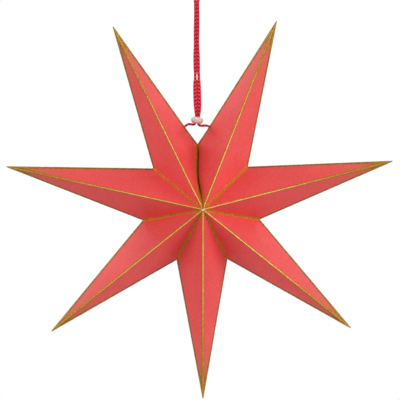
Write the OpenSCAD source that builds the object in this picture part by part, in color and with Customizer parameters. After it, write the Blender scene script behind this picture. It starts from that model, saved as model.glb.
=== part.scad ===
// Seven-pointed advent star of folded red card, hung by a doubled cord through a slide bead.
// Millimetres, Z up, the star faces -Y. The origin is the inside top of the hanging loop.

/* [Star] */
// Star's centre to where the two side creases of a point would meet
point_reach = 232.5; // [200:0.5:260]
// Star's centre to the notches between the points
notch_reach = 70.5; // [60:0.5:80]
// Middle plane to the front or back vertex
half_depth = 60; // [45:1:75]
// Length missing from each blunt tip
tip_blunt = 3.5; // [3:0.5:8]
// Inside top of the loop down to the star's centre
star_drop = 258; // [256:0.5:260]
// How far the star's centre hangs to the right of the cord
star_side = 5; // [3:0.5:7]

/* [Card] */
// Thickness of the card
card = 0.4; // [0.3:0.05:0.6]
// Width of the glue tabs along the short edges
tab_w = 7; // [5:0.5:10]
// Bare edge left at each end of a glue tab
tab_end = 6; // [4:0.5:10]
// Width of the flap glued inside the back seam
flap_w = 8; // [5:0.5:11]
// Width of the open slit between the two top points
slit_w = 1.2; // [0.6:0.1:2.4]
// Radius of the pinhole left where the seven sheets meet
pinhole = 0.5; // [0.3:0.1:1]

/* [Glitter lines] */
// Width of a gold line on the flat sheet, half of it on each side of a fold
line_w = 4.2; // [2:0.2:6]
// Height of the glitter above the card
glitter = 0.2; // [0.1:0.05:0.4]

/* [Cord] */
// Diameter of the braided cord
cord_d = 2.9; // [2.4:0.1:3]
// Room round the cord in its punched holes
hole_clear = 0.85; // [0.6:0.05:1.2]
// Top notch to the middle of a punched hole, along the crease
hole_along = 25.5; // [24.5:0.5:26.5]
// Diameter of the stopper knots
knot_d = 7.2; // [6.4:0.2:7.4]
// Room between a stopper knot and the card that it bears on
knot_clear = 0.3; // [0.1:0.05:0.4]

/* [Slide bead] */
// Widest diameter of the bead
bead_d = 14.4; // [13:0.2:18]
// Height of the bead
bead_h = 11.4; // [9:0.2:11.6]
// Room between the two strands and the bore on each side
bead_clear = 0.95; // [0.8:0.05:1.2]
// Rounding of the bore's rims
bead_rim = 0.8; // [0.4:0.1:1.2]
// How far the bead has tipped to its right, in degrees
bead_tilt = 8; // [0:1:9]
// Star's centre up to the middle of the bead
bead_rise = 99.1; // [99.1:0.1:195]

/* [Hidden] */

card_colour = "#dc4a50";
glitter_colour = "#c08a3c";
cord_colour = "#cf1530";
bead_colour = "#dcc4b8";

points = 7;
step = 360 / points;
// The star is glued by hand: how far each point and notch sits from its even place,
// in degrees counter-clockwise, from the upper left point and the top notch on
point_lean = [0.5, 3.5, 0, -1, 0.5, 1.5, 1.5];
notch_lean = [3.5, 1, -1, 0, 1.5, 1.5, 1];

// Lengths that only have to pass right through what they cut
through = 12;
margin = 20;
far = 2 * point_reach;

// Half the distance between the middles of the two strands above the bead
strand_x = 1.6;
// One strand, from inside the top of the loop down into a top point
left_strand = [
    [-3.5, 0, -0.1], [-5, 0, -4], [-4.5, 0, -9], [-2.6, 0, -16], [-strand_x, 0, -26],
    [-strand_x, 0, -60], [-strand_x, 0, -98], [-1.7, 0, -110], [-strand_x, 0, -122],
    [-strand_x, 0, -150], [-strand_x, 0, -160], [-1.9, 0, -162.3], [-3.4, 0, -164.1],
    [-6, 0, -164.6], [-9, 0, -164.4], [-11.8, 0, -165.3], [-14.1, 0, -166.9], [-16.2, 0, -168.4]
];
right_strand = [
    [3.5, 0, -0.1], [5, 0, -4], [4.5, 0, -9], [2.6, 0, -16], [strand_x, 0, -26],
    [strand_x, 0, -60], [strand_x, 0, -98], [1.7, 0, -110], [strand_x, 0, -122],
    [strand_x, 0, -150], [strand_x, 0, -160], [strand_x, 0, -163], [2.6, 0, -165.1],
    [5, 0, -165.9], [8.4, 0, -165.4], [11.6, 0, -165.4], [14.3, 0, -166.4], [16.6, 0, -167.7]
];
cord_sides = 8;
// Longest step between two rings of the cord
ring_step = 7.5;

function unit(v) = v / norm(v);
function last(list) = list[len(list) - 1];
function reversed(list) = [for (i = [len(list) - 1 : -1 : 0]) list[i]];
function ring_point(radius, angle) = [radius * cos(angle), 0, radius * sin(angle)];

// Corners of the star, measured from its centre: point i lies between notches i - 1 and i
function point_angle(i) = 90 + step * (0.5 - i) + point_lean[i];
function notch_angle(i) = 90 - step * i + notch_lean[i];
function before(i) = (i + points - 1) % points;
function tip(i) = ring_point(point_reach, point_angle(i));
function notch(i) = ring_point(notch_reach, notch_angle(i));
front = [0, -half_depth, 0];
back = [0, half_depth, 0];

// The four facets of point i, each with its corners clockwise as seen from outside
function facets(i) = [
    [tip(i), front, notch(before(i))],
    [tip(i), notch(before(i)), back],
    [tip(i), back, notch(i)],
    [tip(i), notch(i), front]
];
function outward(facet) = unit(cross(facet[2] - facet[0], facet[1] - facet[0]));

// Move that takes the four facets of point i to parallel planes this deep inside them
function inset_move(i, depth) =
    let (n = outward(facets(i)[0]), m = outward(facets(i)[3]), det = n.x * m.z - n.z * m.x)
    [depth * (n.z - m.z) / det, 0, depth * (m.x - n.x) / det];

// A facet's triangle with every edge moved in by the same width
function perimeter(t) = norm(t[1] - t[0]) + norm(t[2] - t[1]) + norm(t[0] - t[2]);
function incentre(t) =
    (norm(t[2] - t[1]) * t[0] + norm(t[0] - t[2]) * t[1] + norm(t[1] - t[0]) * t[2]) / perimeter(t);
function inradius(t) = norm(cross(t[1] - t[0], t[2] - t[0])) / perimeter(t);
function narrowed(t, w) = [for (p = t) incentre(t) + (p - incentre(t)) * (1 - w / inradius(t))];

// A flat plate with this outline, between two heights above its own plane
module plate(outline, normal, low, high) {
    n = len(outline);
    polyhedron(
        points = [for (p = outline) p + normal * high, for (p = outline) p + normal * low],
        faces = [
            [for (k = [0 : n - 1]) k],
            [for (k = [n - 1 : -1 : 0]) n + k],
            for (k = [0 : n - 1]) [(k + 1) % n, k, n + k, n + (k + 1) % n]
        ]
    );
}

// Solid spike inside the four facets of point i, moved in by a depth and running on past the centre
module spike(i, depth) {
    run_on = 1.2;
    corners = [tip(i), front, notch(before(i)), back, notch(i)];
    polyhedron(
        points = [for (p = corners) tip(i) + (p - tip(i)) * run_on + inset_move(i, depth)],
        faces = [[0, 1, 2], [0, 2, 3], [0, 3, 4], [0, 4, 1], [2, 1, 3], [1, 4, 3]]
    );
}

// The share of space that belongs to point i, between its neighbours and up to its blunt tip
module sector(i) {
    axis = unit(tip(i));
    across = [-axis.z, 0, axis.x];
    end = axis * (point_reach - tip_blunt);
    reach = notch_reach + margin;
    outline = [
        unit(notch(before(i))) * pinhole, unit(notch(i)) * pinhole,
        unit(notch(i)) * reach, end - across * margin,
        end + across * margin, unit(notch(before(i))) * reach
    ];
    rotate([90, 0, 0])
        linear_extrude(far, center = true)
            polygon([for (p = outline) [p.x, p.z]]);
}

// Turns the XY plane into the plane through the star's middle axis at this angle
module radial(angle) {
    rotate([0, -angle, 0]) children();
}

// The open slit under the cord, which has no glue in it
module slit() {
    radial(notch_angle(0))
        translate([0, -far / 2, -slit_w / 2]) cube([far, far, slit_w]);
}

// Glue tab in the XY plane, along the short edge from the front vertex to a notch.
// Its slanted ends run on outward, and the facet that it is folded from trims it.
module tab_outline() {
    edge = [notch_reach, half_depth];
    along = unit(edge);
    inward = [-along.y, along.x];
    root = slit_w + card;
    start = [0, -half_depth] + along * tab_end;
    end = [0, -half_depth] + along * (norm(edge) - tab_end);
    polygon([
        start - (inward + along) * root, end - (inward - along) * root,
        end + (inward - along) * tab_w, start + (inward + along) * tab_w
    ]);
}

// Front and back glue tabs on both sides of point i, each as far in from its radial plane
// as the card is thick. The neighbour's side of the plane is cut off with the sheet's edge.
module tabs(i) {
    for (side = [0, 1]) {
        n = side == 0 ? before(i) : i;
        inner = card + (n == 0 ? slit_w / 2 : 0);
        radial(notch_angle(n))
            for (half = [0, 1]) mirror([0, half, 0])
                translate([0, 0, side == 0 ? -inner : -card])
                    linear_extrude(inner + card) tab_outline();
    }
}

// Flap inside the back seam of point i, glued to the facet beside it
module seam_flap(i) {
    facet = facets(i)[2];
    seam = unit(facet[1] - facet[0]);
    rim = facet[2] - facet[0];
    across = unit(rim - seam * (rim * seam));
    start = facet[0] + seam * 3 * flap_w;
    end = facet[1] - seam * tab_end;
    outline = [start, end, end + (across - seam) * flap_w, start + (across + seam) * flap_w];
    plate(outline, outward(facet), -2 * card, 0);
}

// The hole punched on the crease of a top point, square to the crease
hole_d = cord_d + 2 * hole_clear;
function hole_crease(i) = unit(tip(i) - notch(0));
function hole_place(i) = notch(0) + hole_crease(i) * hole_along;
module cord_hole(i) {
    crease = hole_crease(i);
    translate(hole_place(i))
        rotate([0, -atan2(crease.z, crease.x), 0])
            cylinder(d = hole_d, h = through, center = true, $fn = 32);
}

module open_edges(i) {
    if (i < 2) {
        slit();
        cord_hole(i);
    }
}

module star_place() {
    translate([star_side, 0, -star_drop]) children();
}

// The room inside point i, round its tabs and its flap
module hollow(i) {
    difference() {
        spike(i, card);
        tabs(i);
        seam_flap(i);
    }
}

// One point: a single sheet, creased, closed along its back seam and open at its foot
module point(i) {
    color(card_colour)
        star_place()
            difference() {
                intersection() {
                    sector(i);
                    spike(i, 0);
                }
                hollow(i);
                open_edges(i);
            }
}

// The gold glitter on the folds, edges and tip of point i
module glitter_lines(i) {
    color(glitter_colour)
        star_place()
            difference() {
                intersection() {
                    sector(i);
                    spike(i, -glitter);
                }
                spike(i, 0);
                for (facet = facets(i))
                    plate(narrowed(facet, line_w / 2), outward(facet), -1, 1);
                open_edges(i);
            }
}

// Smooth curve through the route's points, with rings no further apart than ring_step
function curve_point(a, b, c, d, t) =
    0.5 * (2 * b + (c - a) * t + (2 * a - 5 * b + 4 * c - d) * t * t + (3 * b - a - 3 * c + d) * t * t * t);
function smooth(p) = [
    for (k = [0 : len(p) - 2])
        let (a = p[max(k - 1, 0)], d = p[min(k + 2, len(p) - 1)], n = ceil(norm(p[k + 1] - p[k]) / ring_step))
        for (j = [0 : n - 1]) curve_point(a, p[k], p[k + 1], d, j / n),
    last(p)
];

// Round tube along a route that keeps near the XZ plane
module tube(route, d) {
    n = len(route);
    heading = [for (k = [0 : n - 1]) unit(route[min(k + 1, n - 1)] - route[max(k - 1, 0)])];
    side = [for (h = heading) unit([0, 1, 0] - h * h.y)];
    rings = [
        for (k = [0 : n - 1]) for (s = [0 : cord_sides - 1])
            let (a = 360 * (s + 0.5) / cord_sides)
            route[k] + (side[k] * cos(a) + cross(heading[k], side[k]) * sin(a)) * d / 2
    ];
    polyhedron(
        points = rings,
        faces = [
            [for (s = [0 : cord_sides - 1]) s],
            [for (s = [cord_sides - 1 : -1 : 0]) (n - 1) * cord_sides + s],
            for (k = [0 : n - 2]) for (s = [0 : cord_sides - 1])
                let (t = (s + 1) % cord_sides, low = k * cord_sides, high = low + cord_sides)
                [low + t, low + s, high + s, high + t]
        ]
    );
}

// Stopper knot inside a top point, bearing on the facets on both sides of the crease
module knot(i) {
    facet = facets(i)[i == 0 ? 3 : 0];
    crease = hole_crease(i);
    inward = (i == 0 ? 1 : -1) * [-crease.z, 0, crease.x];
    sine = -(outward(facet) * inward);
    depth = (knot_d / 2 + card + knot_clear) / sine;
    star_place()
        translate(hole_place(i) + inward * depth) sphere(d = knot_d, $fn = 32);
}

// One cord, knotted in the left top point, led up, round the loop and down to the right one
cord_top = [0, 0, cord_d / 2];
module cord() {
    color(cord_colour) {
        tube(smooth(concat(reversed(left_strand), [cord_top], right_strand)), cord_d);
        for (i = [0, 1]) knot(i);
    }
}

// Frosted bead that slides on both strands and draws the two top points together
bead_bore = 2 * strand_x + cord_d + 2 * bead_clear;
module slide_bead() {
    waist = bead_d / 2;
    bore = bead_bore / 2;
    function crown(x) = bead_h / 2 * sqrt(1 - pow(x / waist, 2));
    edge = acos((bore + bead_rim) / waist);
    rim = [bore + bead_rim, crown(bore + bead_rim) - bead_rim];
    arc = 16;
    corner = 5;
    color(bead_colour)
        translate([0, 0, bead_rise - star_drop])
            rotate([0, bead_tilt, 0])
                rotate_extrude($fn = 64)
                    polygon([
                        for (k = [0 : arc])
                            let (a = edge * (1 - 2 * k / arc))
                            [waist * cos(a), bead_h / 2 * sin(a)],
                        for (k = [1 : corner])
                            let (a = 270 - 90 * k / corner)
                            [rim.x + bead_rim * cos(a), -rim.y + bead_rim * sin(a)],
                        for (k = [0 : corner - 1])
                            let (a = 180 - 90 * k / corner)
                            [rim.x + bead_rim * cos(a), rim.y + bead_rim * sin(a)]
                    ]);
}

for (i = [0 : points - 1]) {
    point(i);
    glitter_lines(i);
}
cord();
slide_bead();
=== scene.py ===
import math

import bpy
import numpy as np
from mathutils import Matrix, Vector


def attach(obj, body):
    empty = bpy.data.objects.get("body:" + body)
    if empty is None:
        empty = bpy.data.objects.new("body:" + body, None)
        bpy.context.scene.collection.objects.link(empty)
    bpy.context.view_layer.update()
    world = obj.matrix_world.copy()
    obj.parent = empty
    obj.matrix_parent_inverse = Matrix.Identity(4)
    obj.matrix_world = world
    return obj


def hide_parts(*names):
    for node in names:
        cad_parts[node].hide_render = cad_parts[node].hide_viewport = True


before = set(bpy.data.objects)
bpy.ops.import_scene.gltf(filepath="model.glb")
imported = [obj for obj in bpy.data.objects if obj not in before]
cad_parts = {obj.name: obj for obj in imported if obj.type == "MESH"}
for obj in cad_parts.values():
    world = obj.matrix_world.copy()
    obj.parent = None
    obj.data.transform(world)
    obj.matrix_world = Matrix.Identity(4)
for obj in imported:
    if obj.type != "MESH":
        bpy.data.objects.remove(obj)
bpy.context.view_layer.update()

# Looks of the paper advent star. Lengths are in millimetres until a mesh is made.
MM = 0.001

POINTS = 7
STEP = 360 / POINTS
POINT_REACH, NOTCH_REACH, HALF_DEPTH, TIP_BLUNT = 232.5, 70.5, 60.0, 3.5
CARD, SLIT_W, TAB_W, TAB_END, FLAP_W = 0.4, 1.2, 7.0, 6.0, 8.0
LINE_W = 4.2
CORD_D, HOLE_D, HOLE_ALONG, KNOT_D, KNOT_CLEAR = 2.9, 4.6, 25.5, 7.2, 0.3
BEAD_D, BEAD_H, BEAD_BORE, BEAD_RIM, BEAD_TILT = 14.4, 10.0, 8.0, 0.8, 8.0
STAR = np.array([5.0, 0.0, -258.0])
BEAD = np.array([0.0, 0.0, -158.9])
POINT_LEAN = [0.5, 3.5, 0, -1, 0.5, 1.5, 1.5]
NOTCH_LEAN = [3.5, 1, -1, 0, 1.5, 1.5, 1]
UP = np.array([0.0, 1.0, 0.0])


# Small tools
def unit(v):
    v = np.asarray(v, float)
    return v / np.linalg.norm(v, axis=-1, keepdims=True)


def ring_point(radius, angle):
    a = math.radians(angle)
    return np.array([radius * math.cos(a), 0.0, radius * math.sin(a)])


def add_mesh(name, points, faces, material, smooth=True, body="star", uv=None):
    """Mesh object from points in millimetres. faces is one array, or a list of arrays of equal width."""
    groups = faces if isinstance(faces, list) else [faces]
    groups = [np.asarray(g, np.int32) for g in groups if len(g)]
    mesh = bpy.data.meshes.new(name)
    points = np.asarray(points, float) * MM
    mesh.vertices.add(len(points))
    mesh.vertices.foreach_set("co", points.astype(np.float32).ravel())
    corners = np.concatenate([g.ravel() for g in groups])
    sizes = np.concatenate([np.full(len(g), g.shape[1], np.int32) for g in groups])
    starts = np.concatenate([[0], np.cumsum(sizes)[:-1]]).astype(np.int32)
    mesh.loops.add(len(corners))
    mesh.loops.foreach_set("vertex_index", corners)
    mesh.polygons.add(len(sizes))
    mesh.polygons.foreach_set("loop_start", starts)
    if uv is not None:
        layer = mesh.uv_layers.new(name="UVMap")
        layer.data.foreach_set("uv", np.asarray(uv, np.float32)[corners].ravel())
    mesh.update(calc_edges=True)
    mesh.validate()
    if smooth:
        mesh.shade_smooth()
    else:
        mesh.shade_flat()
    mesh.materials.append(material)
    obj = bpy.data.objects.new(name, mesh)
    bpy.context.scene.collection.objects.link(obj)
    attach(obj, body)
    return obj


def grid_faces(rows, cols, start=0, closed=False):
    """Quads between neighbouring rows and columns of a grid of points."""
    r = np.arange(rows - 1)[:, None]
    c = np.arange(cols if closed else cols - 1)[None, :]
    d = (c + 1) % cols
    quad = [r * cols + c, r * cols + d, (r + 1) * cols + d, (r + 1) * cols + c]
    return np.stack([np.broadcast_to(q, (rows - 1, c.shape[1])) for q in quad], -1).reshape(-1, 4) + start


def torus_faces(rows, cols):
    """Quads of a grid that closes both ways."""
    c = np.arange(cols)
    last, nxt = (rows - 1) * cols, (c + 1) % cols
    close = np.stack([last + c, last + nxt, nxt, c], 1)
    return np.concatenate([grid_faces(rows, cols, 0, True), close])


def split_quads(quads, seed):
    """Each quad as two triangles, cut along a diagonal picked by chance."""
    pick = np.random.default_rng(seed).random(len(quads)) < 0.5
    a, b, c, d = quads.T
    first = np.where(pick[:, None], np.stack([a, b, c], 1), np.stack([a, b, d], 1))
    second = np.where(pick[:, None], np.stack([a, c, d], 1), np.stack([b, c, d], 1))
    return np.concatenate([first, second])


def smooth_path(points, spacing):
    """Catmull-Rom curve through the points, with samples evenly spaced along it."""
    p = np.asarray(points, float)
    p = np.concatenate([p[:1], p, p[-1:]])
    t = np.linspace(0, 1, 24, endpoint=False)[:, None]
    dense = []
    for a, b, c, d in zip(p, p[1:], p[2:], p[3:]):
        dense.append(0.5 * (2 * b + (c - a) * t + (2 * a - 5 * b + 4 * c - d) * t ** 2
                            + (3 * b - a - 3 * c + d) * t ** 3))
    dense = np.concatenate(dense + [p[-1:]])
    along = np.concatenate([[0], np.cumsum(np.linalg.norm(np.diff(dense, axis=0), axis=1))])
    even = np.linspace(0, along[-1], int(along[-1] / spacing) + 1)
    return np.stack([np.interp(even, along, dense[:, k]) for k in range(3)], 1), even


# Camera
# Solved from the outline of the star in the photograph
CAMERA_PLACE = (-0.0337, -1.1953, -0.1592)
CAMERA_PITCH, CAMERA_YAW = math.radians(4.434), math.radians(1.783)
CAMERA_LENS, CAMERA_SENSOR = 92.34, 36.0


def make_camera():
    data = bpy.data.cameras.new("camera")
    data.sensor_width = CAMERA_SENSOR
    data.lens = CAMERA_LENS
    data.clip_start, data.clip_end = 0.05, 50.0
    cam = bpy.data.objects.new("camera", data)
    cam.location = CAMERA_PLACE
    cam.rotation_euler = (math.pi / 2 - CAMERA_PITCH, 0.0, -CAMERA_YAW)
    bpy.context.scene.collection.objects.link(cam)
    bpy.context.scene.camera = cam


make_camera()


# Materials
class Nodes:
    """Short hand for building a node material."""

    def __init__(self, name):
        self.material = bpy.data.materials.new(name)
        self.material.use_nodes = True
        self.tree = self.material.node_tree
        self.shader = self.tree.nodes["Principled BSDF"]
        self.coords = self.add("ShaderNodeTexCoord").outputs["Object"]

    def add(self, kind, **values):
        node = self.tree.nodes.new(kind)
        for key, value in values.items():
            if hasattr(node, key):
                setattr(node, key, value)
            else:
                node.inputs[key.replace("_", " ")].default_value = value
        return node

    def link(self, a, b):
        self.tree.links.new(a, b)

    def scaled(self, scale):
        node = self.add("ShaderNodeMapping")
        node.inputs["Scale"].default_value = scale
        self.link(self.coords, node.inputs["Vector"])
        return node.outputs["Vector"]

    def noise(self, scale, detail=2.0, roughness=0.5, vector=None):
        node = self.add("ShaderNodeTexNoise")
        node.inputs["Scale"].default_value = scale
        node.inputs["Detail"].default_value = detail
        node.inputs["Roughness"].default_value = roughness
        self.link(vector or self.coords, node.inputs["Vector"])
        return node.outputs["Fac"]

    def ramp(self, fac, stops):
        node = self.add("ShaderNodeValToRGB")
        while len(node.color_ramp.elements) < len(stops):
            node.color_ramp.elements.new(0.5)
        for element, (at, colour) in zip(node.color_ramp.elements, stops):
            element.position = at
            element.color = (*colour, 1.0)
        self.link(fac, node.inputs["Fac"])
        return node.outputs["Color"]

    def mix(self, fac, a, b, blend="MIX"):
        node = self.add("ShaderNodeMix", data_type="RGBA", blend_type=blend)
        for socket, value in ((node.inputs[0], fac), (node.inputs[6], a), (node.inputs[7], b)):
            if isinstance(value, (float, int)):
                socket.default_value = value
            elif isinstance(value, tuple):
                socket.default_value = (*value, 1.0)
            else:
                self.link(value, socket)
        return node.outputs[2]

    def bump(self, height, strength, distance, normal=None):
        node = self.add("ShaderNodeBump")
        node.inputs["Strength"].default_value = strength
        node.inputs["Distance"].default_value = distance
        self.link(height, node.inputs["Height"])
        if normal is not None:
            self.link(normal, node.inputs["Normal"])
        return node.outputs["Normal"]

    def distance(self, spot):
        """Distance of the shaded spot from a place given in metres."""
        node = self.add("ShaderNodeVectorMath", operation="DISTANCE")
        self.link(self.coords, node.inputs[0])
        node.inputs[1].default_value = tuple(spot)
        return node.outputs["Value"]

    def fade(self, value, start, end, low=0.0, high=1.0):
        """A soft step from low, where value is at start, to high, where it is at end."""
        node = self.add("ShaderNodeMapRange", interpolation_type="SMOOTHSTEP")
        for name, limit in (("From Min", start), ("From Max", end), ("To Min", low), ("To Max", high)):
            node.inputs[name].default_value = limit
        self.link(value, node.inputs["Value"])
        return node.outputs["Result"]

    def map_parts(self):
        """U and V of the mesh's map."""
        node = self.add("ShaderNodeSeparateXYZ")
        self.link(self.add("ShaderNodeTexCoord").outputs["UV"], node.inputs["Vector"])
        return node.outputs["X"], node.outputs["Y"]

    def math(self, operation, a, b=None, c=None):
        node = self.add("ShaderNodeMath", operation=operation)
        for socket, value in zip(node.inputs, (a, b, c)):
            if isinstance(value, float):
                socket.default_value = value
            elif value is not None:
                self.link(value, socket)
        return node.outputs[0]

    def set(self, **values):
        for key, value in values.items():
            self.shader.inputs[key.replace("_", " ")].default_value = value

    def colour(self, socket):
        self.link(socket, self.shader.inputs["Base Color"])

    def normal(self, socket):
        self.link(socket, self.shader.inputs["Normal"])


def linear(r, g, b):
    """A colour written as 0 to 255, as the shader takes it."""
    return tuple(c / 255 / 12.92 if c <= 10 else ((c / 255 + 0.055) / 1.055) ** 2.4 for c in (r, g, b))


def card_material():
    n = Nodes("red_card")
    pulp = n.noise(1400, 4, 0.65)
    fibres = n.noise(1, 3, 0.6, n.scaled((260, 260, 1700)))
    cloud = n.noise(38, 3, 0.55)
    base = n.ramp(cloud, [(0.3, linear(230, 60, 58)), (0.7, linear(238, 66, 64))])
    grain = n.ramp(pulp, [(0.25, (0.93, 0.90, 0.90)), (0.5, (1.0, 1.0, 1.0)), (0.8, (1.05, 1.16, 1.16))])
    thread = n.ramp(fibres, [(0.2, (0.96, 0.94, 0.94)), (0.55, (1.0, 1.0, 1.0)), (0.85, (1.03, 1.1, 1.1))])
    mottle = n.ramp(n.noise(430, 2, 0.5), [
        (0.32, (0.94, 0.80, 0.70)), (0.5, (1.0, 1.0, 1.0)), (0.68, (1.06, 1.20, 1.32))])
    paper = n.mix(1.0, base, grain, "MULTIPLY")
    uneven = n.mix(1.0, thread, mottle, "MULTIPLY")
    card = n.mix(1.0, paper, uneven, "MULTIPLY")
    # Gold dust, denser towards the tips
    strewn = n.fade(n.distance(STAR * MM), 0.11, 0.225, 0.0, 0.28)
    speck = n.math("ADD", n.noise(950, 2, 0.5), strewn)
    dust = n.ramp(speck, [(0.7, (0, 0, 0)), (0.74, (1, 1, 1))])
    n.colour(n.mix(dust, card, linear(186, 96, 30)))
    n.set(Roughness=0.62, Specular_IOR_Level=0.8)
    soft = n.bump(n.noise(55, 3, 0.5), 0.35, 0.0006)
    n.normal(n.bump(pulp, 0.3, 0.00012, soft))
    return n.material


def gold_material():
    """Gold flakes. U of the map says how brightly the gold lies, which carries painted highlight and painted
    shade along each line; V how olive it is.
    """
    n = Nodes("gold_glitter")
    cell = n.add("ShaderNodeTexVoronoi")
    cell.inputs["Scale"].default_value = 1500
    n.link(n.coords, cell.inputs["Vector"])
    one = n.add("ShaderNodeSeparateColor")
    n.link(cell.outputs["Color"], one.inputs["Color"])
    tone, share = n.map_parts()
    level = n.math("MULTIPLY_ADD", one.outputs["Red"], 0.34, tone)
    warm = n.ramp(level, [
        (0.1, linear(64, 24, 4)), (0.36, linear(128, 64, 10)), (0.6, linear(192, 116, 22)),
        (0.84, linear(236, 170, 60)), (1.0, linear(255, 218, 132))])
    olive = n.ramp(level, [
        (0.1, linear(70, 42, 6)), (0.36, linear(122, 80, 14)), (0.6, linear(176, 126, 28)),
        (0.84, linear(214, 166, 56)), (1.0, linear(244, 210, 120))])
    gold = n.mix(share, warm, olive)
    # A whitish spot where the seven points meet in front
    pale_centre_spot = n.fade(n.distance((STAR - UP * HALF_DEPTH) * MM), 0.0026, 0.0008, 0.0, 0.8)
    n.colour(n.mix(pale_centre_spot, gold, linear(255, 228, 206)))
    n.set(Metallic=0.3, Roughness=0.4, Specular_IOR_Level=0.12)
    n.normal(n.bump(cell.outputs["Distance"], 0.5, 0.0002))
    return n.material


def cord_material():
    """Crimson yarn: U is how far a spot stands out of the braid and which of two yarn colours it has; low is
    painted shade, high a painted highlight. V runs along the yarn.
    """
    n = Nodes("red_cord")
    height, along = n.map_parts()
    yarn_tone_and_painted_shade = n.ramp(height, [
        (0.0, linear(140, 0, 10)), (0.22, linear(200, 0, 20)), (0.44, linear(255, 8, 42)),
        (0.75, linear(255, 38, 72)), (1.0, linear(255, 100, 122))])
    twist = n.math("SINE", n.math("MULTIPLY", along, 9000.0))
    fuzz = n.noise(2600, 3, 0.6)
    shade = n.ramp(fuzz, [(0.3, (0.84, 0.6, 0.65)), (0.55, (1.0, 1.0, 1.0)), (0.8, (1.06, 1.4, 1.25))])
    n.colour(n.mix(1.0, yarn_tone_and_painted_shade, shade, "MULTIPLY"))
    n.set(Roughness=0.6, Specular_IOR_Level=0.08)
    n.normal(n.bump(twist, 0.35, 0.00006))
    return n.material


def core_shade_material():
    """Painted shade: a dark red on the core, so that the gaps between the yarns look shaded."""
    n = Nodes("red_cord_core_shade")
    n.colour(n.ramp(n.noise(1800, 2), [(0.3, linear(112, 0, 8)), (0.7, linear(150, 0, 16))]))
    n.set(Roughness=0.8)
    return n.material


def bead_material():
    n = Nodes("frosted_bead")
    cloud = n.noise(160, 3, 0.6)
    n.colour(n.ramp(cloud, [(0.3, linear(230, 218, 206)), (0.7, linear(238, 228, 216))]))
    n.set(Roughness=0.42, Transmission_Weight=0.02, IOR=1.49, Subsurface_Weight=0.6, Subsurface_Scale=0.004)
    n.shader.inputs["Subsurface Radius"].default_value = (1.0, 0.9, 0.85)
    n.normal(n.bump(n.noise(1500, 3), 0.25, 0.00015))
    return n.material


def floor_material():
    """Pale floor that melts into the white background at its rim."""
    n = Nodes("floor")
    n.colour(n.ramp(n.noise(3, 2), [(0.3, (0.86, 0.86, 0.86)), (0.7, (0.88, 0.88, 0.88))]))
    n.set(Roughness=0.9, Specular_IOR_Level=0.1)
    length = n.add("ShaderNodeVectorMath", operation="LENGTH")
    n.link(n.coords, length.inputs[0])
    rim = n.fade(length.outputs["Value"], 0.35, 1.35)
    clear = n.add("ShaderNodeBsdfTransparent")
    blend = n.add("ShaderNodeMixShader")
    n.link(rim, blend.inputs["Fac"])
    n.link(n.shader.outputs["BSDF"], blend.inputs[1])
    n.link(clear.outputs["BSDF"], blend.inputs[2])
    n.link(blend.outputs["Shader"], n.tree.nodes["Material Output"].inputs["Surface"])
    return n.material


RED, GOLD = card_material(), gold_material()
CORD, CORE_SHADE, FROST = cord_material(), core_shade_material(), bead_material()


# Shape of the star
def point_angle(i):
    return 90 + STEP * (0.5 - i) + POINT_LEAN[i]


def notch_angle(i):
    return 90 - STEP * i + NOTCH_LEAN[i]


FRONT = np.array([0.0, -HALF_DEPTH, 0.0])
BACK = np.array([0.0, HALF_DEPTH, 0.0])
TIPS = [ring_point(POINT_REACH, point_angle(i)) for i in range(POINTS)]
NOTCHES = [ring_point(NOTCH_REACH, notch_angle(i)) for i in range(POINTS)]
SLIT_NORMAL = ring_point(1.0, notch_angle(0) + 90)


def rim_of(i):
    """Corners of point i's foot: front, counter-clockwise notch, back, clockwise notch."""
    return [FRONT, NOTCHES[(i - 1) % POINTS], BACK, NOTCHES[i]]


# Of the four facets of a point, the two in front
FRONT_FACETS = (0, 3)


def facet_normal(i, k):
    """Outward normal of facet k of point i."""
    rim = rim_of(i)
    n = unit(np.cross(rim[k] - TIPS[i], rim[(k + 1) % 4] - TIPS[i]))
    facing = -1 if k in FRONT_FACETS else 1
    return n if n[1] * facing > 0 else -n


def inset_move(i, depth):
    """How far the inner skin's tip moves so that all four facets lie depth behind the outer skin."""
    n, m = facet_normal(i, 0), facet_normal(i, 3)
    det = n[0] * m[2] - n[2] * m[0]
    return np.array([depth * (n[2] - m[2]) / det, 0.0, depth * (m[0] - n[0]) / det])


# How far each facet bows out of flat, in millimetres, as [front a, back a, back b, front b]
BOW = [
    [0.8, 0.5, 0.6, -0.6], [0.5, 0.7, 0.4, 0.6], [0.9, 0.4, 0.7, 0.5], [0.6, 0.8, 0.5, 0.7],
    [0.8, 0.6, 0.4, 0.6], [0.5, 0.6, 0.8, 0.9], [0.7, 0.5, 0.6, 0.5],
]
# Makes the highest value of s ** 2 * (1 - s) one
BOW_PEAK = 6.75


def ease(x, low, high):
    """Smooth step from 0 at low to 1 at high."""
    t = np.clip((x - low) / (high - low), 0, 1)
    return t * t * (3 - 2 * t)


def slit_field(p):
    """The cord draws the two top points together: the slit bends aside and closes behind its mouth."""
    y = np.clip(p[..., 1] / HALF_DEPTH, -1, 1)
    size = np.where(y < 0, 2.9, 1.5) * np.sin(np.pi * np.abs(y)) ** 2
    off = p @ SLIT_NORMAL
    above = ease(p @ unit(NOTCHES[0]), 0, 9)
    aside = size * np.exp(-(np.abs(off) / 11.0) ** 2) * above
    slope = math.cos(math.atan2(NOTCH_REACH, HALF_DEPTH))
    depth = (NOTCH_REACH * (1 - np.abs(y)) - p @ unit(NOTCHES[0])) * slope
    mouth = ease(np.abs(y), 0.03, 0.16) * (1 - 0.5 * ease(np.abs(y), 0.6, 0.9)) * (y < 0)
    shut = 0.58 - 0.28 * mouth * (1 - ease(depth, 0.4, 2.0))
    closing = np.sign(off) * np.minimum(np.abs(off), shut) * np.exp(-(off / 7.0) ** 2) * above
    return p - np.array([1.0, 0, 0]) * aside[..., None] - SLIT_NORMAL * closing[..., None]


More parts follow.
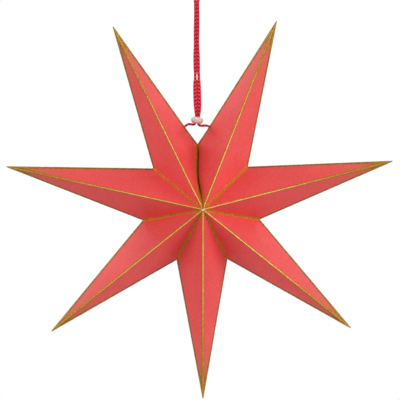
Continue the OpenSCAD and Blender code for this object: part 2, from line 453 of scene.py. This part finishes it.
# How the facets beside the slit curl inward at their edge, by point and facet:
# width of the curl, angle in degrees, and slide towards the slit
CURL = {(0, 3): (8.0, 14.0, 1.9), (1, 0): (6.5, 80.0, 2.4)}


def curl_field(i, k, p, rigid=False):
    """The right top point's edge is pressed in behind the left one's edge, which curls only a little."""
    wide, degrees, slide = CURL[i, k]
    along = unit(NOTCHES[0] - FRONT)
    v = TIPS[i] - NOTCHES[0]
    edge_in = unit(v - along * (v @ along))
    w = np.zeros(p.shape[:-1]) if rigid else np.maximum((p - NOTCHES[0]) @ edge_in, 0)
    q = -p[..., 1] / HALF_DEPTH
    share = ease(q, 0.0, 0.14) * (1 - ease(q, 0.6, 0.95))
    angle = np.maximum(math.radians(degrees) * share, 1e-3)
    radius = wide / angle
    turn = angle * (1 - np.minimum(w / wide, 1))
    across = np.maximum(wide - w, 0) - radius * np.sin(turn)
    inward = radius * (1 - np.cos(turn))
    across = across - slide * share * np.exp(-(np.maximum(w - wide, 0) / 9.0) ** 2)
    return p + edge_in * across[..., None] - facet_normal(i, k) * inward[..., None]


def on_facet(i, k, p, height=0.0):
    """Points of the flat facet k of point i, bowed and lifted above the card."""
    rim, n = rim_of(i), facet_normal(i, k)
    a, b = rim[k] - TIPS[i], rim[(k + 1) % 4] - TIPS[i]
    basis = np.linalg.pinv(np.stack([a, b], 1))
    w = (p - TIPS[i]) @ basis.T
    s = np.clip(w.sum(-1), 0, 1)
    t = np.clip(w[..., 1] / np.maximum(w.sum(-1), 1e-6), 0, 1)
    bow = BOW[i][k] * np.sin(np.pi * t) * BOW_PEAK * s ** 2 * (1 - s)
    p = p + n * (bow + height)[..., None]
    return slit_field(curl_field(i, k, p) if (i, k) in CURL else p)


def foot_end(i, k):
    """Share of the way from the tip at which facet k ends: short of the slit, or at the glued edge."""
    side = (i - 1) % POINTS if k in (0, 1) else i
    if side != 0:
        return 1.0
    return 1.0 - SLIT_W / 2 / abs(TIPS[i] @ SLIT_NORMAL)


# Card
# A fold is rounded over this length, or over this share of a narrow facet
FOLD_ROUND, FOLD_SHARE = 1.1, 0.28
# Columns of the card's mesh between two folds, and along a fold
FACET_COLUMNS = 11
FOLD_STEPS = (0.0, 0.34, 0.66, 1.0)
# Highest angle between two faces of the card that still looks round
SHARP_ANGLE = math.radians(38)


def loop_at(i, s, base):
    """Cross-section of point i at each share s of the way from base, with its folds slightly rounded."""
    rows = []
    rim = rim_of(i)
    for share in s:
        corner = [base + share * (c - TIPS[i]) for c in rim]
        row = []
        for k in range(4):
            here, nxt, prev = corner[k], corner[(k + 1) % 4], corner[(k + 3) % 4]
            out_n, out_p = np.linalg.norm(nxt - here), np.linalg.norm(prev - here)
            r_n, r_p = min(FOLD_ROUND, FOLD_SHARE * out_n), min(FOLD_ROUND, FOLD_SHARE * out_p)
            a, c = here + (prev - here) * r_p / out_p, here + (nxt - here) * r_n / out_n
            for t in FOLD_STEPS:
                row.append((1 - t) ** 2 * a + 2 * t * (1 - t) * here + t * t * c)
            far = nxt + (here - nxt) * r_n / out_n
            for t in np.linspace(0, 1, FACET_COLUMNS + 2)[1:-1]:
                row.append(c + (far - c) * t)
        rows.append(row)
    return np.array(rows)


def column_facets():
    """For each column of the loop, the facet that it belongs to."""
    owner = []
    for k in range(4):
        owner += [(k + 3) % 4, (k + 3) % 4, k, k] + [k] * FACET_COLUMNS
    return np.array(owner)


def card_point(i):
    """Sheet i: an outer and an inner skin with closed rims, the glue tabs and the flap."""
    owner = column_facets()
    count = len(owner)
    axis = unit(TIPS[i])
    rim = rim_of(i)
    move = inset_move(i, CARD)
    shares = np.concatenate([
        np.linspace(0, 0.06, 5)[:-1], np.linspace(0.06, 0.94, 34), np.linspace(0.94, 1, 5)[1:]])
    skins = []
    for skin, base in enumerate((TIPS[i], TIPS[i] + move)):
        rows = np.zeros((len(shares), count, 3))
        for k in range(4):
            mine = owner == k
            along = (rim[k] + rim[(k + 1) % 4]) / 2 - TIPS[i]
            start = TIP_BLUNT / abs(along @ axis)
            end = foot_end(i, k)
            if skin:
                side = notch_normal((i - 1) % POINTS if k in (0, 1) else i)
                start = (TIP_BLUNT + move @ axis) / abs(along @ axis)
                end = end + (side @ move) / (side @ TIPS[i])
            loop = loop_at(i, start + (end - start) * shares, base)
            rows[:, mine] = on_facet(i, k, loop[:, mine])
        skins.append(rows.reshape(-1, 3))
    half = len(shares) * count
    last = half - count
    c = np.arange(count)
    d = (c + 1) % count
    foot = np.stack([last + c, last + d, half + last + d, half + last + c], 1)
    head = np.stack([c, half + c, half + d, d], 1)
    points = list(skins)
    faces = [grid_faces(len(shares), count, 0, True), grid_faces(len(shares), count, half, True)[:, ::-1],
             foot, head]
    first = 2 * half
    for p, f in inner_plates(i):
        points.append(p)
        faces.append(f + first)
        first += len(p)
    obj = add_mesh(f"card_{i + 1}", np.concatenate(points) + STAR, np.concatenate(faces), RED)
    if i < 2:
        punch(obj, i)
    obj.data.set_sharp_from_angle(angle=SHARP_ANGLE)
    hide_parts(f"point_{i + 1}")


def notch_normal(n):
    """Across the glued edge at notch n."""
    notch = NOTCHES[n]
    return np.array([-notch[2], 0, notch[0]]) / NOTCH_REACH


def prism(outline, normal, low, high):
    """Flat plate between two heights above a four-cornered outline."""
    outline = np.asarray(outline, float)
    n = len(outline)
    points = np.concatenate([outline + normal * high, outline + normal * low])
    quads = [[(k + 1) % n, k, n + k, n + (k + 1) % n] for k in range(n)]
    top = [list(range(4)), [n + 3, n + 2, n + 1, n]]
    return points, np.array(quads + top, np.int32)


# The tabs start this far inside the glued edge, and lie this far off the neighbour's tab
TAB_START, TAB_GAP = 0.45, 0.03
# Gap between the flap and the card that it is glued to
FLAP_GAP = 0.3


def inner_plates(i):
    """Points and faces of the glue tabs at the foot and of the flap inside the back seam."""
    plates = []
    steps = np.linspace(0, 1, 13)[:, None]
    for facet, n in ((0, (i - 1) % POINTS), (3, i)):
        notch = NOTCHES[n]
        side = notch_normal(n)
        inward = side if side @ TIPS[i] > 0 else -side
        gap = SLIT_W / 2 if n == 0 else 0.0
        for vertex in (FRONT, BACK):
            along = unit(notch - vertex)
            into = unit(-vertex - along * (-vertex @ along))
            length = np.linalg.norm(notch - vertex)
            a = vertex + along * TAB_END + into * TAB_START
            b = vertex + along * (length - TAB_END) + into * TAB_START
            c, d = a + (into + along) * TAB_W, b + (into - along) * TAB_W
            ring = np.concatenate([a + (b - a) * steps, c + (d - c) * steps])
            if n == 0 and vertex is FRONT:
                ring = curl_field(i, facet, ring, rigid=True)
            p = np.concatenate([
                slit_field(ring + inward * (gap + TAB_GAP)), slit_field(ring + inward * (gap + CARD))])
            m, f = len(steps), []
            for q in range(m - 1):
                f += [[q, q + 1, m + q + 1, m + q], [2 * m + q, 3 * m + q, 3 * m + q + 1, 2 * m + q + 1],
                      [q, 2 * m + q, 2 * m + q + 1, q + 1], [m + q, m + q + 1, 3 * m + q + 1, 3 * m + q]]
            f += [[0, m, 3 * m, 2 * m], [m - 1, 3 * m - 1, 4 * m - 1, 2 * m - 1]]
            plates.append((p, np.array(f, np.int32)))
    rim = rim_of(i)
    seam = unit(rim[2] - TIPS[i])
    edge = rim[3] - TIPS[i]
    across = unit(edge - seam * (edge @ seam))
    start, end = TIPS[i] + seam * 3 * FLAP_W, rim[2] - seam * TAB_END
    outline = [start, end, end + (across - seam) * FLAP_W, start + (across + seam) * FLAP_W]
    plates.append(prism(outline, facet_normal(i, 2), -2 * CARD - FLAP_GAP, -CARD - FLAP_GAP))
    return plates


def hole_place(i):
    """Middle of the hole in point i, and the direction of the crease that it is on."""
    crease = unit(TIPS[i] - NOTCHES[0])
    return NOTCHES[0] + crease * HOLE_ALONG, crease


PUNCH_LENGTH = 12


def punch(obj, i):
    """The hole on the crease that the cord goes through."""
    place, crease = hole_place(i)
    bpy.ops.mesh.primitive_cylinder_add(vertices=32, radius=HOLE_D / 2 * MM, depth=PUNCH_LENGTH * MM)
    tool = bpy.context.object
    square = Vector((-crease[2], 0, crease[0]))
    tool.rotation_mode = "QUATERNION"
    tool.rotation_quaternion = Vector((0, 0, 1)).rotation_difference(square)
    tool.location = Vector(tuple((place + STAR) * MM))
    cut = obj.modifiers.new("punch", "BOOLEAN")
    cut.operation, cut.solver, cut.object = "DIFFERENCE", "EXACT", tool
    cut.use_self = True
    bpy.context.view_layer.update()
    dg = bpy.context.evaluated_depsgraph_get()
    mesh = bpy.data.meshes.new_from_object(obj.evaluated_get(dg))
    obj.modifiers.clear()
    old = obj.data
    obj.data = mesh
    bpy.data.meshes.remove(old)
    mesh.name = obj.name
    bpy.data.objects.remove(tool, do_unlink=True)


# Gold
# Share of the usual width on single short edges, by point and facet
EDGE_WIDTH = {(0, 3): 2.7, (1, 0): 1.7, (0, 0): 0.75, (6, 3): 0.75, (1, 3): 0.95, (2, 0): 0.95}
# How brightly the gold lies on the ridge, creases, seam, short edges, slit edges and tips; the creases' lower
# tone is painted shade where the outline turns away from the light
RIDGE_TONE, CREASE_TONE, SEAM_TONE, SHORT_TONE, SLIT_TONE, TIP_TONE = 0.44, 0.31, 0.44, 0.48, 0.48, 0.24
# Share of the usual width on the creases
CREASE_WIDE = 1.5
# Length of a cell of the gold's mesh, and how far a cell's end may stray, as a share of it
GRAIN, STRAY = 0.55, 0.3
# Where the columns of a strip lie between its middle and its edge
SHARES = (0.27, 0.54, 0.8, 1.0)
# Ranges of chance in millimetres: a strip's edge, its inner columns, the height of its middle and elsewhere
RAGGED, JITTER, TOP_LIFT, LIFT = (-0.38, 0.3), (-0.16, 0.16), (0.06, 0.3), (0.04, 0.34)
# Height of a strip's edge, just under the card's surface, and where it has no room
EDGE_LIFT, NARROW_LIFT = -0.04, (0.02, 0.25)
# A strip counts as full when it lacks less than this
FULL_SLACK = 0.05


def tone_map(points, tone, tint=0.2):
    """Map of a gold strip: its tone, and how olive it is, which grows towards the tips."""
    olive = tint + 0.7 * ease(np.linalg.norm(points, axis=-1), 60, 200)
    return np.stack([np.broadcast_to(tone, points.shape[:-1]), olive], -1)


def line_half(i, k, u, p, q):
    """Half width of a gold line: thinner near the front vertex, and on the edges that are pressed together."""
    spot = p + (q - p) * (u / max(u[-1], 1e-6))[:, None]
    taper = 0.94 + 0.06 * ease(np.linalg.norm(spot - FRONT, axis=1), 2, 70)
    taper = taper + 0.75 * (1 - ease(np.linalg.norm(spot - TIPS[i], axis=1), 18, 48))
    return LINE_W / 2 * taper * EDGE_WIDTH.get((i, k), 1.0)


def cell_ends(gen, length):
    """Unevenly spaced places along a strip."""
    count = int(length / GRAIN)
    u = np.linspace(0, length, count + 1)
    u[1:-1] += gen.uniform(-STRAY, STRAY, count - 1) * GRAIN
    return u


def gold_mesh(grid, uv, seed):
    """Points, faces and map of a strip from its rows of points."""
    faces = split_quads(grid_faces(grid.shape[0], grid.shape[1]), seed + 1)
    return grid.reshape(-1, 3), faces, uv.reshape(-1, 2)


def strip(i, p, q, facet, inward, at_start, at_end, seed):
    """Grainy gold along a short edge of point i, between the angles that the facet has at its ends."""
    gen = np.random.default_rng(seed)
    length = np.linalg.norm(q - p)
    along = unit(q - p)
    u = cell_ends(gen, length)
    half = line_half(i, facet, u, p, q)
    room = np.minimum(np.minimum(u * math.tan(at_start / 2), (length - u) * math.tan(at_end / 2)), half)
    room = np.maximum(room, 0.0)
    full = room > half - FULL_SLACK
    columns = []
    for f in (0.0, *SHARES):
        wide = room * f
        if f == 1.0:
            wide = np.where(full, wide + gen.uniform(*RAGGED, len(u)), wide)
            lift = np.full(len(u), EDGE_LIFT)
        elif f == 0.0:
            lift = gen.uniform(*TOP_LIFT, len(u))
        else:
            wide = wide + np.where(full, gen.uniform(*JITTER, len(u)), 0)
            lift = gen.uniform(*LIFT, len(u))
        spot = p + along * u[:, None] + inward * wide[:, None]
        columns.append(on_facet(i, facet, spot, lift))
    grid = np.stack(columns, 1)
    tone, tint = (SLIT_TONE, -0.1) if (i, facet) in CURL else (SHORT_TONE, 0.0)
    return gold_mesh(grid, tone_map(grid, tone, tint), seed)


def corner_angle(at, a, b):
    return math.acos(float(np.clip(unit(a - at) @ unit(b - at), -1, 1)))


def inward_of(p, q, inside):
    """Direction across the edge from p to q, towards the spot inside."""
    along = unit(q - p)
    v = inside - p
    return unit(v - along * (v @ along))


def gold_point(i):
    """The gold of point i: four folds, four short edges and the tip."""
    tip, rim = TIPS[i], rim_of(i)
    ends = [foot_end(i, k) for k in range(4)]
    seed = 1000 * (i + 1)
    parts = []
    for k in range(4):
        # fold from the tip to rim corner k, between facet k - 1 and facet k
        before, nxt = (k + 3) % 4, (k + 1) % 4
        foot = tip + (rim[k] - tip) * min(ends[before], ends[k])
        top = blunt_end(i, k)
        sides = [(facet, inward_of(top, foot, rim[other]), corner_angle(rim[k], tip, rim[other]))
                 for facet, other in ((before, before), (k, nxt))]
        parts.append(strip_fold(i, k, top, foot, sides, seed))
        seed += 10
        # short edge from rim corner k to rim corner k + 1
        a = tip + (rim[k] - tip) * ends[k]
        b = tip + (rim[nxt] - tip) * ends[k]
        parts.append(strip(i, a, b, k, inward_of(a, b, tip), corner_angle(rim[k], rim[nxt], tip),
                           corner_angle(rim[nxt], rim[k], tip), seed))
        seed += 10
    parts.append(tip_cap(i, seed))
    points, faces, maps = zip(*parts)
    first = np.cumsum([0] + [len(p) for p in points[:-1]])
    obj = add_mesh(f"gold_{i + 1}", np.concatenate(points) + STAR,
                   np.concatenate([f + start for f, start in zip(faces, first)]), GOLD, smooth=False,
                   uv=np.concatenate(maps))
    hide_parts(f"glitter_{i + 1}")


def blunt_end(i, k):
    """Where the fold to rim corner k starts at the blunt tip."""
    fold = rim_of(i)[k] - TIPS[i]
    return TIPS[i] + fold * TIP_BLUNT / abs(fold @ unit(TIPS[i]))


def strip_fold(i, k, top, foot, sides, seed):
    """Gold over fold k of point i, half of it on each facet, narrowing with the facets near the tip.

    sides lists for both facets: its number, the direction inward, and its angle at the foot.
    """
    gen = np.random.default_rng(seed)
    tip, rim = TIPS[i], rim_of(i)
    crease = k in (1, 3)
    length = np.linalg.norm(foot - top)
    along = unit(foot - top)
    gone = np.linalg.norm(top - tip)
    u = cell_ends(gen, length)
    half = line_half(i, -1, u, top, foot) * (CREASE_WIDE if crease else 1.0)
    columns, tones = [], []
    reach = np.linalg.norm(top + along * u[:, None], axis=1)
    # The middle of a line is painted brighter, core being a painted highlight on the fold's apex, and its
    # edges are painted darker as shade, less so on a crease
    base = {0: RIDGE_TONE, 2: SEAM_TONE}.get(k, CREASE_TONE)
    if crease:
        base = base + 0.14 * (1 - ease(POINT_REACH - reach, 8, 50))
    core = (0.46 - 0.34 * ease(reach, 60, 200)) * (0.15 if crease else 1.0)
    painted_edge_shade = 0.05 if crease else 0.2
    order = [(0, f) for f in SHARES[::-1]] + [(0, 0.0)] + [(1, f) for f in SHARES]
    for which, f in order:
        facet, inward, at_foot = sides[which]
        apex = corner_angle(tip, rim[facet], rim[(facet + 1) % 4])
        room = np.minimum((u + gone) * math.tan(apex / 2), half)
        room = np.maximum(np.minimum(room, (length - u) * math.tan(at_foot / 2)), 0.0)
        full = room > half - FULL_SLACK
        wide = room * f
        if f == 1.0:
            ragged = gen.uniform(*RAGGED, len(u)) * (1 + 1.6 * ease(reach, 110, 190))
            wide = np.where(full, wide + ragged, wide)
            lift = np.where(full, EDGE_LIFT, gen.uniform(*NARROW_LIFT, len(u)))
        elif f == 0.0:
            lift = gen.uniform(*TOP_LIFT, len(u))
        else:
            wide = wide + np.where(full, gen.uniform(*JITTER, len(u)), 0)
            lift = gen.uniform(*LIFT, len(u))
        spot = top + along * u[:, None] + inward * wide[:, None]
        columns.append(on_facet(i, facet, spot, lift))
        tones.append(base + core * math.exp(-(f / 0.33) ** 2) - painted_edge_shade * f)
    grid = np.stack(columns, 1)
    return gold_mesh(grid, tone_map(grid, np.stack(tones, 1)), seed)


def tip_cap(i, seed):
    """The worn end of a tip: a small grainy knob that closes the four facets."""
    gen = np.random.default_rng(seed)
    axis = unit(TIPS[i])
    ring = []
    for k in range(4):
        a, b = blunt_end(i, k), blunt_end(i, (k + 1) % 4)
        ring += [a, (a + b) / 2]
    ring = np.array(ring)
    centre = ring.mean(0)
    rows = []
    for rise, width in ((-0.7, 1.12), (0.1, 1.12), (0.75, 0.8), (1.15, 0.4), (1.3, 0.08)):
        rows.append(centre + (ring - centre) * width + axis * rise + gen.uniform(-0.13, 0.13, ring.shape))
    points = np.concatenate(rows)
    faces = split_quads(grid_faces(len(rows), len(ring), 0, True), seed + 1)
    return points, faces, tone_map(points, TIP_TONE)


# Cord
# Middle line of each strand, from the loop at the top to the hole
LEFT = [
    [-3.5, 0, -0.1], [-5, 0, -4], [-4.5, 0, -9], [-2.6, 0, -16], [-1.6, 0, -26], [-1.6, 0, -60],
    [-1.6, 0, -98], [-1.7, 0, -110], [-1.6, 0, -122], [-1.6, 0, -150], [-1.6, 0, -160],
    [-2.1, 0, -162.6], [-3.5, 0, -163.8], [-5.0, 0, -164.0], [-6.6, 0, -163.7], [-8.6, 0, -163.4],
    [-11.2, 0, -164.1], [-13.8, 0, -165.9], [-16.2, 0, -168.3],
]
RIGHT = [
    [3.5, 0, -0.1], [5, 0, -4], [4.5, 0, -9], [2.6, 0, -16], [1.6, 0, -26], [1.6, 0, -60],
    [1.6, 0, -98], [1.7, 0, -110], [1.6, 0, -122], [1.6, 0, -150], [1.6, 0, -160],
    [1.6, 0, -162.8], [2.7, 0, -164.7], [4.8, 0, -165.3], [7.6, 0, -165.2], [10.6, 0, -165.2],
    [13.6, 0, -165.9], [16.6, 0, -167.6],
]
# Length of one turn of a yarn, number of yarns, and sides of a yarn and of the core
LAY, YARNS, YARN_SIDES, CORE_SIDES = 8.4, 8, 6, 8
# Distance of a yarn's middle from the strand's, and its thickness, as shares of the strand's radius
ORBIT, THICK, CORE_SHARE = 0.73, 0.27, 0.66
# Height, sideways lean of the pair, distance of each strand from its middle, and radius of a strand
SWELL = np.array([
    [-164, -0.70, 1.42, 1.42], [-159, 0.00, 1.44, 1.52], [-153, 0.72, 1.50, 1.62],
    [-149.8, 0.80, 1.73, 2.03], [-146, 0.72, 1.90, 2.28], [-141, 0.58, 2.10, 2.46],
    [-131, 0.30, 2.15, 2.50], [-121, 0.05, 2.12, 2.48], [-114.5, 0.00, 2.00, 2.28],
    [-111.5, 0.05, 2.02, 1.64], [-107, 0.05, 2.02, 1.60], [-103.5, -0.05, 1.75, 1.80],
    [-99, -0.25, 1.80, 2.10], [-84, -0.45, 1.76, 2.08], [-77, -0.50, 1.56, 1.86],
    [-70, -0.55, 1.44, 1.75], [-58, -0.50, 1.54, 1.86], [-47, -0.28, 1.52, 1.80],
    [-36, -0.22, 1.42, 1.72], [-28, -0.40, 1.40, 1.70], [-20, -0.50, 1.44, 1.68],
    [-8, 0.00, 1.50, 1.50], [4, 0.00, 1.50, 1.45],
])


def knot_centre(i):
    """Middle of the stopper knot, which lies against the two facets behind the hole."""
    place, crease = hole_place(i)
    inward = (1 if i == 0 else -1) * np.array([-crease[2], 0, crease[0]])
    facet = facet_normal(i, 3 if i == 0 else 0)
    depth = (KNOT_D / 2 + CARD + KNOT_CLEAR) / -(facet @ inward)
    return place + inward * depth + STAR


def make_cord():
    """A round braid of eight yarns over a core coloured dark as painted shade between the yarns, with a
    stopper knot at each end.
    """
    route = [knot_centre(0), *LEFT[::-1], [0, 0, CORD_D / 2], *RIGHT, knot_centre(1)]
    path, along = smooth_path(route, 0.5)
    z = path[:, 2]
    lean, offset, radius = (np.interp(z, SWELL[:, 0], SWELL[:, c]) for c in (1, 2, 3))
    blend = np.interp(z, [-163, -160.5, -26, -20], [0, 1, 1, 0])
    path[:, 0] = path[:, 0] * (1 - blend) + (np.sign(path[:, 0]) * offset) * blend
    path[:, 0] += lean * np.interp(z, [-164, -161, -24, -12], [0, 1, 1, 0])
    path[:, 1] += 0.12 * np.sin(along / 9.0) * blend
    low = z < -162
    below_bead = np.interp(np.abs(path[:, 0]), [1.5, 6, 9, 13, 20], [1.42, 1.42, 1.5, 1.3, 1.2])
    radius = np.where(low, below_bead, radius)
    heading = unit(np.gradient(path, axis=0))
    across = np.cross(heading, UP)
    points, faces, uvs, start = [], [], [], 0
    ring = np.linspace(0, 2 * np.pi, YARN_SIDES, endpoint=False)
    # The lay is counted from the top, so that both strands mirror each other
    high = np.nonzero(z > -100)[0]
    lay = along - (along[high[0]] + along[high[-1]]) / 2
    for k in range(YARNS):
        turn = 1 if k < YARNS // 2 else -1
        phase = (k % 4) * np.pi / 2
        angle = turn * 2 * np.pi * lay / LAY + phase
        weave = np.cos(8 * np.pi * lay / LAY + (0 if turn > 0 else np.pi) + (k % 2) * np.pi)
        light = 1.0 if k % 2 == 0 else -1.0
        outer = -turn * np.tanh(path[:, 0])
        orbit = radius * (ORBIT + 0.03 * weave + 0.06 * outer + 0.02 * light)
        spoke = UP * np.cos(angle)[:, None] + across * np.sin(angle)[:, None]
        middle = path + spoke * orbit[:, None]
        way = unit(np.gradient(middle, axis=0))
        side = unit(np.cross(way, spoke))
        out = np.cross(side, way)
        thick = THICK - 0.03 * outer[:, None] + 0.03 * light
        breadth = side[:, None, :] * (np.cos(ring)[None, :] * thick)[..., None]
        rise_out = out[:, None, :] * (np.sin(ring) * THICK)[None, :, None]
        body = middle[:, None, :] + (breadth + rise_out) * radius[:, None, None]
        points.append(body.reshape(-1, 3))
        faces.append(grid_faces(len(path), YARN_SIDES, start, True))
        # U: the paler or darker yarn, painted shade where a yarn dips under and on its side towards the core,
        # a painted highlight on its outer side; on each strand the yarns of one lean are a little paler
        rise = 0.44 + 0.40 * light + (0.10 * outer + 0.05 * weave)[:, None]
        rise = rise + 0.3 * (np.sin(ring)[None, :] - 0.3)
        uvs.append(np.stack([np.clip(rise, 0, 1).ravel(), np.repeat(along * MM, YARN_SIDES)], 1))
        start += len(path) * YARN_SIDES
    yarn_faces = np.concatenate(faces)
    ring = np.linspace(0, 2 * np.pi, CORE_SIDES, endpoint=False)
    spokes = UP[None, None, :] * np.cos(ring)[None, :, None] \
        + across[:, None, :] * np.sin(ring)[None, :, None]
    core = (path[:, None, :] + spokes * (radius * CORE_SHARE)[:, None, None])[::2]
    points.append(core.reshape(-1, 3))
    core_faces = grid_faces(len(core), CORE_SIDES, start, True)
    uvs.append(np.zeros((len(core) * CORE_SIDES, 2)))
    start += len(core) * CORE_SIDES
    knot_faces = []
    for i in (0, 1):
        p, f, w = knot_mesh(knot_centre(i))
        points.append(p)
        knot_faces.append(f + start)
        uvs.append(w)
        start += len(p)
    faces = np.concatenate([yarn_faces, core_faces] + knot_faces)
    obj = add_mesh("hanging_cord", np.concatenate(points), faces, CORD,
                   uv=np.concatenate(uvs))
    obj.data.materials.append(CORE_SHADE)
    index = np.zeros(len(faces), np.int32)
    index[len(yarn_faces):len(yarn_faces) + len(core_faces)] = 1
    obj.data.polygons.foreach_set("material_index", index)
    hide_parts("cord")


def knot_mesh(centre):
    """A small overhand stopper knot."""
    steps, sides, reach, thick = 90, 8, 2.35, 1.15
    t = np.linspace(0, 2 * np.pi, steps, endpoint=False)
    loop = np.stack([np.sin(t) + 2 * np.sin(2 * t), -np.sin(3 * t) * 0.9, np.cos(t) - 2 * np.cos(2 * t)], 1)
    loop = loop / 3.0 * reach
    way = unit(np.roll(loop, -1, 0) - np.roll(loop, 1, 0))
    side = unit(np.cross(way, UP + 0 * way))
    out = np.cross(side, way)
    ring = np.linspace(0, 2 * np.pi, sides, endpoint=False)
    twist = 1 + 0.12 * np.cos(2 * ring[None, :] + 9 * t[:, None])
    spokes = side[:, None, :] * np.cos(ring)[None, :, None] + out[:, None, :] * np.sin(ring)[None, :, None]
    body = centre + loop[:, None, :] + spokes * (thick * twist)[:, :, None]
    uv = np.stack([np.full(steps * sides, 0.7), np.repeat(t * 0.0025, sides)], 1)
    return body.reshape(-1, 3), torus_faces(steps, sides), uv


# Bead
def make_bead():
    """A flattened ball with a bore and rounded rims, turned about its own axis, then tipped."""
    waist, bore = BEAD_D / 2, BEAD_BORE / 2

    def crown(x):
        return BEAD_H / 2 * math.sqrt(1 - (x / waist) ** 2)

    edge = math.acos((bore + BEAD_RIM) / waist)
    rim = (bore + BEAD_RIM, crown(bore + BEAD_RIM) - BEAD_RIM)
    profile = []
    for k in range(33):
        a = edge * (1 - 2 * k / 32)
        profile.append((waist * math.cos(a), BEAD_H / 2 * math.sin(a)))
    for k in range(1, 11):
        a = math.radians(270 - 90 * k / 10)
        profile.append((rim[0] + BEAD_RIM * math.cos(a), -rim[1] + BEAD_RIM * math.sin(a)))
    for z in np.linspace(-rim[1], rim[1], 9)[1:-1]:
        profile.append((bore, z))
    for k in range(10):
        a = math.radians(180 - 90 * k / 10)
        profile.append((rim[0] + BEAD_RIM * math.cos(a), rim[1] + BEAD_RIM * math.sin(a)))
    profile = np.array(profile)
    turns = 96
    angle = np.linspace(0, 2 * np.pi, turns, endpoint=False)
    wob = 1 + 0.006 * np.cos(3 * angle + 0.5)
    body = np.stack([profile[:, 0][None, :] * (np.cos(angle) * wob)[:, None],
                     profile[:, 0][None, :] * (np.sin(angle) * wob)[:, None],
                     np.broadcast_to(profile[:, 1], (turns, len(profile)))], -1)
    tilt = math.radians(BEAD_TILT)
    turn = np.array([[math.cos(tilt), 0, math.sin(tilt)], [0, 1, 0], [-math.sin(tilt), 0, math.cos(tilt)]])
    points = body.reshape(-1, 3) @ turn.T + BEAD
    faces = torus_faces(turns, len(profile))[:, ::-1]
    obj = add_mesh("bead", points, faces, FROST, body="bead")
    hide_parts("slide_bead")


make_cord()
for index in range(POINTS):
    card_point(index)
    gold_point(index)
make_bead()


# Stage and light
FLOOR_RADIUS, FLOOR_HEIGHT = 1.4, -0.95
# Strength of the world's light on the object
WORLD_LIGHT = 0.34
# Where the lamps point, how wide they are, and their names, places and powers
AIM, LAMP_SIZE = (0, 0, -0.25), 1.6
LAMPS = [
    ("key", (0.6, -2.3, 1.6), 15.5), ("front_right", (2.3, -1.4, 0.2), 33),
    ("front_left", (-2.3, -1.4, 0.2), 22), ("rim_right", (2.0, 1.0, 1.45), 12),
    ("rim_left", (-2.0, 1.0, 1.45), 23),
]


def make_stage():
    turns = 96
    a = np.linspace(0, 2 * np.pi, turns, endpoint=False)
    mesh = bpy.data.meshes.new("floor")
    points = [(0, 0, 0)] + [(FLOOR_RADIUS * math.cos(t), FLOOR_RADIUS * math.sin(t), 0) for t in a]
    faces = [(0, k + 1, (k + 1) % turns + 1) for k in range(turns)]
    mesh.from_pydata(points, [], faces)
    mesh.materials.append(floor_material())
    floor = bpy.data.objects.new("floor", mesh)
    floor.location = (0, 0, FLOOR_HEIGHT)
    bpy.context.scene.collection.objects.link(floor)


def area_light(name, place, power):
    data = bpy.data.lights.new(name, "AREA")
    data.shape = "DISK"
    data.size = LAMP_SIZE
    data.energy = power
    lamp = bpy.data.objects.new(name, data)
    lamp.location = place
    lamp.rotation_euler = (Vector(AIM) - Vector(place)).to_track_quat("-Z", "Y").to_euler()
    lamp.visible_camera = False
    bpy.context.scene.collection.objects.link(lamp)


def make_world():
    """White for the camera and for reflections, a plain grey for the light on the object."""
    world = bpy.data.worlds.new("world")
    bpy.context.scene.world = world
    world.use_nodes = True
    tree = world.node_tree
    sky = tree.nodes["Background"]
    out = tree.nodes["World Output"]
    white = tree.nodes.new("ShaderNodeBackground")
    white.inputs["Color"].default_value = (1, 1, 1, 1)
    white.inputs["Strength"].default_value = 1.0
    sky.inputs["Color"].default_value = (1, 1, 1, 1)
    sky.inputs["Strength"].default_value = WORLD_LIGHT
    path = tree.nodes.new("ShaderNodeLightPath")
    first = tree.nodes.new("ShaderNodeMath")
    second = tree.nodes.new("ShaderNodeMath")
    first.operation = second.operation = "MAXIMUM"
    mix = tree.nodes.new("ShaderNodeMixShader")
    tree.links.new(path.outputs["Is Camera Ray"], first.inputs[0])
    tree.links.new(path.outputs["Is Glossy Ray"], first.inputs[1])
    tree.links.new(first.outputs[0], second.inputs[0])
    tree.links.new(path.outputs["Is Transmission Ray"], second.inputs[1])
    tree.links.new(second.outputs[0], mix.inputs["Fac"])
    tree.links.new(sky.outputs[0], mix.inputs[1])
    tree.links.new(white.outputs[0], mix.inputs[2])
    tree.links.new(mix.outputs[0], out.inputs["Surface"])


make_stage()
make_world()
for lamp in LAMPS:
    area_light(*lamp)
bpy.context.scene.view_settings.view_transform = "Standard"
